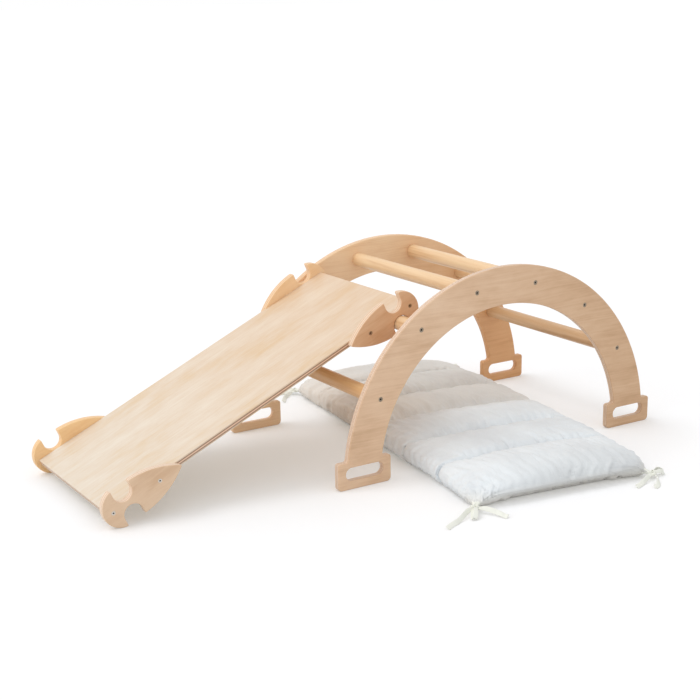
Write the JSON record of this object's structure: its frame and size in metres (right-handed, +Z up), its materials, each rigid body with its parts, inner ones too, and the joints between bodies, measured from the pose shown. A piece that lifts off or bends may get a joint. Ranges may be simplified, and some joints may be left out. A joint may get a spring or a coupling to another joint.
{
  "type": "wooden rocker arch",
  "caption": "Two bent plywood side panels joined by round rungs make a climbing and rocking arch, with a ramp hooked on a rung and a quilted mat with corner ties under it.",
  "frame": {"origin": "middle of the footprint of the arch, the ramp and the mat, on the floor; the ties don't count", "axes": "+X runs along the arch, away from the ramp; +Y runs across it, from the near side panel to the far one; +Z is up"},
  "size_m": [1.5606, 1.2254, 0.4884],
  "materials": {
    "panel_plywood": "clear satin lacquer on birch plywood",
    "plate_plywood": "clear satin lacquer on birch plywood",
    "board_plywood": "clear satin lacquer on pale birch plywood",
    "rung_beech": "clear satin lacquer on turned beech",
    "bolt_steel": "zinc-plated steel with a hexagon socket",
    "insert_zinc": "plain die-cast zinc",
    "mat_cotton": "matt woven cotton, quilted",
    "tie_cotton": "matt cotton tape"
  },
  "bodies": {
    "arch": {"near_side_panel": "panel_plywood", "far_side_panel": "panel_plywood", "rung_1": "rung_beech", "rung_2": "rung_beech", "rung_3": "rung_beech", "rung_4": "rung_beech", "rung_5": "rung_beech", "rung_6": "rung_beech", "near_rung_bolts": "bolt_steel", "far_rung_bolts": "bolt_steel", "near_rung_inserts": "insert_zinc", "far_rung_inserts": "insert_zinc"},
    "ramp": {"ramp_board": "board_plywood", "near_lower_hook_plate": "plate_plywood", "near_upper_hook_plate": "plate_plywood", "far_lower_hook_plate": "plate_plywood", "far_upper_hook_plate": "plate_plywood", "near_lower_plate_screws": "bolt_steel", "near_upper_plate_screws": "bolt_steel", "far_lower_plate_screws": "bolt_steel", "far_upper_plate_screws": "bolt_steel"},
    "mat": {"mat_cushion": "mat_cotton", "near_left_tie_knot": "tie_cotton", "near_right_tie_knot": "tie_cotton", "far_left_tie_knot": "tie_cotton", "far_right_tie_knot": "tie_cotton", "near_left_tie_short_tail": "tie_cotton", "near_left_tie_long_tail": "tie_cotton", "near_right_tie_short_tail": "tie_cotton", "near_right_tie_long_tail": "tie_cotton", "far_left_tie_short_tail": "tie_cotton", "far_left_tie_long_tail": "tie_cotton", "far_right_tie_short_tail": "tie_cotton", "far_right_tie_long_tail": "tie_cotton"}
  },
  "joints": [
    {"name": "ramp_swing", "type": "hinge", "parent": "arch", "child": "ramp", "pos_m": [0.02158, 0.0985, 0.36291], "axis": [0, 1, 0], "range_deg": [0, 60]},
    {"name": "mat_lift", "type": "slide", "parent": "arch", "child": "mat", "axis": [0, 0, 1], "range_m": [0, 0.1]}
  ]
}
